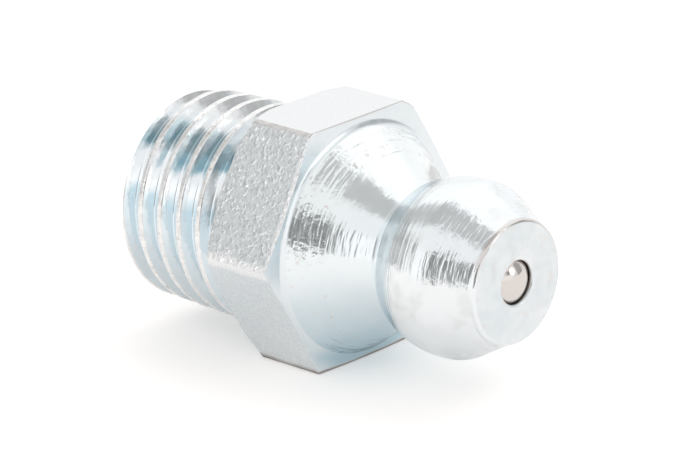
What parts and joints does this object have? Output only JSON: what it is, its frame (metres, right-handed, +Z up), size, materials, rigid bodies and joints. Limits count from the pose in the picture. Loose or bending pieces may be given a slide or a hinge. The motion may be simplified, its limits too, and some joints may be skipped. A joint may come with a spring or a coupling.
{
  "type": "grease nipple",
  "caption": "Straight grease nipple with a tapered threaded shank, a hexagon, a cone and a coupler head, closed by a spring-loaded check ball.",
  "frame": {"origin": "on the nipple's axis, in the plane of the hexagon's shoulder, where the threaded shank begins", "axes": "+X along the axis towards the nose and its ball; +Z up, square to the two level flats of the hexagon, the lower of which it lies on; the thread reaches into -X"},
  "size_m": [0.0161, 0.0104, 0.009],
  "materials": {
    "zinc_plated_steel": "turned steel, bright zinc plated with a pale blue passivate",
    "bearing_steel": "polished hardened ball",
    "spring_steel": "bright drawn wire"
  },
  "bodies": {
    "housing": {"nipple_body": "zinc_plated_steel", "valve_spring": "spring_steel"},
    "ball": {"check_ball": "bearing_steel"}
  },
  "joints": [
    {"name": "check_ball_slide", "type": "slide", "parent": "housing", "child": "ball", "axis": [-1, 0, 0], "range_m": [0, 0.0015], "stiffness_N_per_m": 900, "springref_m": -0.002, "deforming": ["valve_spring"]}
  ]
}
